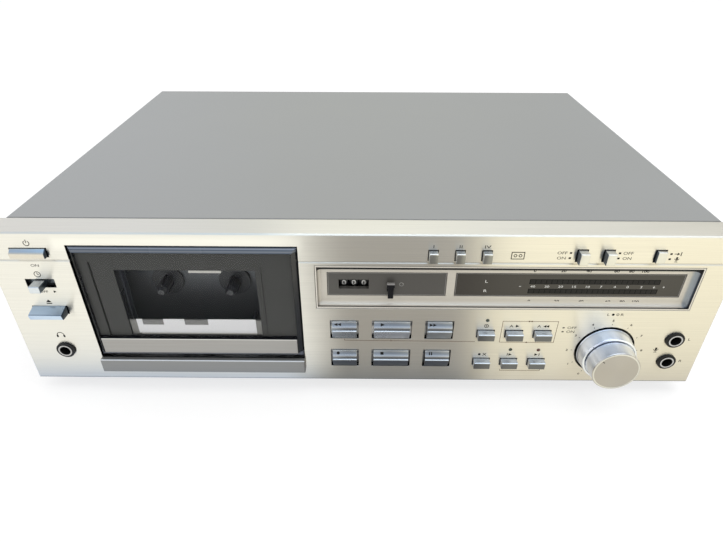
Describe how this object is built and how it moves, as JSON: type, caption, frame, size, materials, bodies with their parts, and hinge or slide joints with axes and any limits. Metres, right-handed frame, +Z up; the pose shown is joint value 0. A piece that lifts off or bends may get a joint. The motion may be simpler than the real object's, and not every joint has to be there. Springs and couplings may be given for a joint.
{
  "type": "cassette deck",
  "caption": "Front-loading hi-fi cassette deck with a hinged cassette door, push keys, tape counter, level meter, dual level knob and jacks, in a sheet metal case.",
  "frame": {"origin": "centre of the deck's footprint box at the level of the feet's undersides", "axes": "+X to the right along the front panel seen from the front, +Y from the front to the rear, +Z up"},
  "size_m": [0.43, 0.3282, 0.12],
  "materials": {
    "panel": "horizontally brushed, champagne anodised",
    "sill": "brushed",
    "cover_paint": "satin grey paint",
    "chassis": "zinc plated",
    "foot_rubber": "matte",
    "door_black": "glossy black",
    "smoked_glass": "clear smoked acrylic",
    "trim": "brushed",
    "bezel": "satin silver",
    "plate_brown": "satin brown grey",
    "control_black": "satin black",
    "key_silver": "satin metallic",
    "knob": "turned, satin",
    "spindle_plastic": "moulded",
    "brass": "turned",
    "motor_steel": "plated can",
    "belt_rubber": "matte",
    "transformer": "laminated core, varnished",
    "board": "phenolic board"
  },
  "bodies": {
    "root": {"front_panel": "panel", "top_cover": "cover_paint", "chassis_pan": "chassis", "foot_front_left": "foot_rubber", "foot_front_right": "foot_rubber", "foot_rear_left": "foot_rubber", "foot_rear_right": "foot_rubber", "door_sill": "sill", "mechanism_plate": "chassis", "display_bezel": "bezel", "counter_housing": "plate_brown", "meter_module": "plate_brown", "phones_jack": "control_black", "mic_jack_left": "control_black", "mic_jack_right": "control_black", "main_board": "board", "power_transformer": "transformer", "capstan_motor": "motor_steel", "level_potentiometer": "control_black", "line_jack_block": "control_black", "mains_inlet": "control_black", "drive_belt": "belt_rubber"},
    "door": {"door_frame": "door_black", "door_window": "smoked_glass", "door_trim": "trim", "cassette_carrier": "door_black"},
    "eject_button": {"eject_button": "key_silver"},
    "rewind_key": {"rewind_key": "key_silver"},
    "play_key": {"play_key": "key_silver"},
    "fast_forward_key": {"fast_forward_key": "key_silver"},
    "record_key": {"record_key": "key_silver"},
    "stop_key": {"stop_key": "key_silver"},
    "pause_key": {"pause_key": "key_silver"},
    "monitor_key": {"monitor_key": "key_silver"},
    "auto_play_key": {"auto_play_key": "key_silver"},
    "auto_rewind_key": {"auto_rewind_key": "key_silver"},
    "record_mute_key": {"record_mute_key": "key_silver"},
    "memory_start_key": {"memory_start_key": "key_silver"},
    "memory_end_key": {"memory_end_key": "key_silver"},
    "counter_reset_lever": {"counter_reset_lever": "control_black"},
    "power_button": {"power_button": "key_silver"},
    "tape_key_normal": {"tape_key_normal": "key_silver"},
    "tape_key_chrome": {"tape_key_chrome": "key_silver"},
    "tape_key_metal": {"tape_key_metal": "key_silver"},
    "noise_reduction_key": {"noise_reduction_key": "key_silver"},
    "filter_key": {"filter_key": "key_silver"},
    "input_key": {"input_key": "key_silver"},
    "timer_lever": {"timer_lever": "key_silver"},
    "left_level_knob": {"left_level_knob": "knob"},
    "right_level_knob": {"right_level_knob": "knob"},
    "supply_spindle": {"supply_spindle": "spindle_plastic"},
    "takeup_spindle": {"takeup_spindle": "spindle_plastic"},
    "capstan_flywheel": {"capstan_flywheel": "brass"},
    "motor_pulley": {"motor_pulley": "brass"},
    "counter_wheel_units": {"counter_wheel_units": "control_black"},
    "counter_wheel_tens": {"counter_wheel_tens": "control_black"},
    "counter_wheel_hundreds": {"counter_wheel_hundreds": "control_black"},
    "head_bridge": {"head_bridge": "chassis"},
    "pinch_arm": {"pinch_arm": "chassis"},
    "pinch_roller": {"pinch_roller": "belt_rubber"}
  },
  "joints": [
    {"name": "door_hinge", "type": "hinge", "parent": "root", "child": "door", "pos_m": [-0.10235, -0.13975, 0.0325], "axis": [1, 0, 0], "range_deg": [0, 25]},
    {"name": "eject_button_press", "type": "slide", "parent": "root", "child": "eject_button", "axis": [0, 1, 0], "range_m": [0, 0.003], "stiffness_N_per_m": 300},
    {"name": "rewind_key_press", "type": "slide", "parent": "root", "child": "rewind_key", "axis": [0, 1, 0], "range_m": [0, 0.0012], "stiffness_N_per_m": 300},
    {"name": "play_key_press", "type": "slide", "parent": "root", "child": "play_key", "axis": [0, 1, 0], "range_m": [0, 0.0012], "stiffness_N_per_m": 300},
    {"name": "fast_forward_key_press", "type": "slide", "parent": "root", "child": "fast_forward_key", "axis": [0, 1, 0], "range_m": [0, 0.0012], "stiffness_N_per_m": 300},
    {"name": "record_key_press", "type": "slide", "parent": "root", "child": "record_key", "axis": [0, 1, 0], "range_m": [0, 0.0012], "stiffness_N_per_m": 300},
    {"name": "stop_key_press", "type": "slide", "parent": "root", "child": "stop_key", "axis": [0, 1, 0], "range_m": [0, 0.0012], "stiffness_N_per_m": 300},
    {"name": "pause_key_press", "type": "slide", "parent": "root", "child": "pause_key", "axis": [0, 1, 0], "range_m": [0, 0.0012], "stiffness_N_per_m": 300},
    {"name": "monitor_key_press", "type": "slide", "parent": "root", "child": "monitor_key", "axis": [0, 1, 0], "range_m": [0, 0.0015], "stiffness_N_per_m": 300},
    {"name": "auto_play_key_press", "type": "slide", "parent": "root", "child": "auto_play_key", "axis": [0, 1, 0], "range_m": [0, 0.0015], "stiffness_N_per_m": 300},
    {"name": "auto_rewind_key_press", "type": "slide", "parent": "root", "child": "auto_rewind_key", "axis": [0, 1, 0], "range_m": [0, 0.0015], "stiffness_N_per_m": 300},
    {"name": "record_mute_key_press", "type": "slide", "parent": "root", "child": "record_mute_key", "axis": [0, 1, 0], "range_m": [0, 0.0015], "stiffness_N_per_m": 300},
    {"name": "memory_start_key_press", "type": "slide", "parent": "root", "child": "memory_start_key", "axis": [0, 1, 0], "range_m": [0, 0.0015], "stiffness_N_per_m": 300},
    {"name": "memory_end_key_press", "type": "slide", "parent": "root", "child": "memory_end_key", "axis": [0, 1, 0], "range_m": [0, 0.0015], "stiffness_N_per_m": 300},
    {"name": "counter_reset_lever_press", "type": "slide", "parent": "root", "child": "counter_reset_lever", "axis": [0, 1, 0], "range_m": [0, 0.002], "stiffness_N_per_m": 300},
    {"name": "power_button_press", "type": "slide", "parent": "root", "child": "power_button", "axis": [0, 1, 0], "range_m": [-0.004, 0.0005]},
    {"name": "tape_key_normal_press", "type": "slide", "parent": "root", "child": "tape_key_normal", "axis": [0, 1, 0], "range_m": [0, 0.0025]},
    {"name": "tape_key_chrome_press", "type": "slide", "parent": "root", "child": "tape_key_chrome", "axis": [0, 1, 0], "range_m": [0, 0.0025]},
    {"name": "tape_key_metal_press", "type": "slide", "parent": "root", "child": "tape_key_metal", "axis": [0, 1, 0], "range_m": [0, 0.0025]},
    {"name": "noise_reduction_key_press", "type": "slide", "parent": "root", "child": "noise_reduction_key", "axis": [0, 1, 0], "range_m": [0, 0.0027]},
    {"name": "filter_key_press", "type": "slide", "parent": "root", "child": "filter_key", "axis": [0, 1, 0], "range_m": [0, 0.0027]},
    {"name": "input_key_press", "type": "slide", "parent": "root", "child": "input_key", "axis": [0, 1, 0], "range_m": [-0.0027, 0.0005]},
    {"name": "timer_slide", "type": "slide", "parent": "root", "child": "timer_lever", "axis": [1, 0, 0], "range_m": [-0.0045, 0.0045]},
    {"name": "left_level_turn", "type": "hinge", "parent": "root", "child": "left_level_knob", "pos_m": [0.1538, -0.14425, 0.0373], "axis": [0, 1, 0], "range_deg": [-99, 201]},
    {"name": "right_level_turn", "type": "hinge", "parent": "root", "child": "right_level_knob", "pos_m": [0.1538, -0.14425, 0.0373], "axis": [0, 1, 0], "range_deg": [-99, 201]},
    {"name": "supply_spin", "type": "hinge", "parent": "root", "child": "supply_spindle", "pos_m": [-0.1236, -0.12075, 0.0738], "axis": [0, 1, 0], "continuous": true},
    {"name": "takeup_spin", "type": "hinge", "parent": "root", "child": "takeup_spindle", "pos_m": [-0.0811, -0.12075, 0.0738], "axis": [0, 1, 0], "continuous": true},
    {"name": "capstan_spin", "type": "hinge", "parent": "root", "child": "capstan_flywheel", "pos_m": [-0.07055, -0.11925, 0.0472], "axis": [0, 1, 0], "continuous": true},
    {"name": "motor_spin", "type": "hinge", "parent": "root", "child": "motor_pulley", "pos_m": [-0.13035, -0.11175, 0.04], "axis": [0, 1, 0], "continuous": true},
    {"name": "units_turn", "type": "hinge", "parent": "root", "child": "counter_wheel_units", "pos_m": [0.0008, -0.12815, 0.0839], "axis": [1, 0, 0], "continuous": true},
    {"name": "tens_turn", "type": "hinge", "parent": "root", "child": "counter_wheel_tens", "pos_m": [-0.0052, -0.12815, 0.0839], "axis": [1, 0, 0], "continuous": true},
    {"name": "hundreds_turn", "type": "hinge", "parent": "root", "child": "counter_wheel_hundreds", "pos_m": [-0.0112, -0.12815, 0.0839], "axis": [1, 0, 0], "continuous": true},
    {"name": "head_bridge_lift", "type": "slide", "parent": "root", "child": "head_bridge", "axis": [0, 0, 1], "range_m": [0, 0.007]},
    {"name": "pinch_arm_swing", "type": "hinge", "parent": "root", "child": "pinch_arm", "pos_m": [-0.05435, -0.12105, 0.03675], "axis": [0, 1, 0], "range_deg": [0, 28.07]},
    {"name": "pinch_roller_spin", "type": "hinge", "parent": "pinch_arm", "child": "pinch_roller", "pos_m": [-0.07055, -0.12655, 0.0327], "axis": [0, 1, 0], "continuous": true}
  ],
  "couplings": [
    {"joint": "motor_spin", "follows": "capstan_spin", "ratio": 5.3},
    {"joint": "units_turn", "follows": "takeup_spin", "ratio": 0.05},
    {"joint": "tens_turn", "follows": "takeup_spin", "ratio": 0.005},
    {"joint": "hundreds_turn", "follows": "takeup_spin", "ratio": 0.0005},
    {"joint": "pinch_arm_swing", "follows": "head_bridge_lift", "rad_per_m": 69.99}
  ]
}
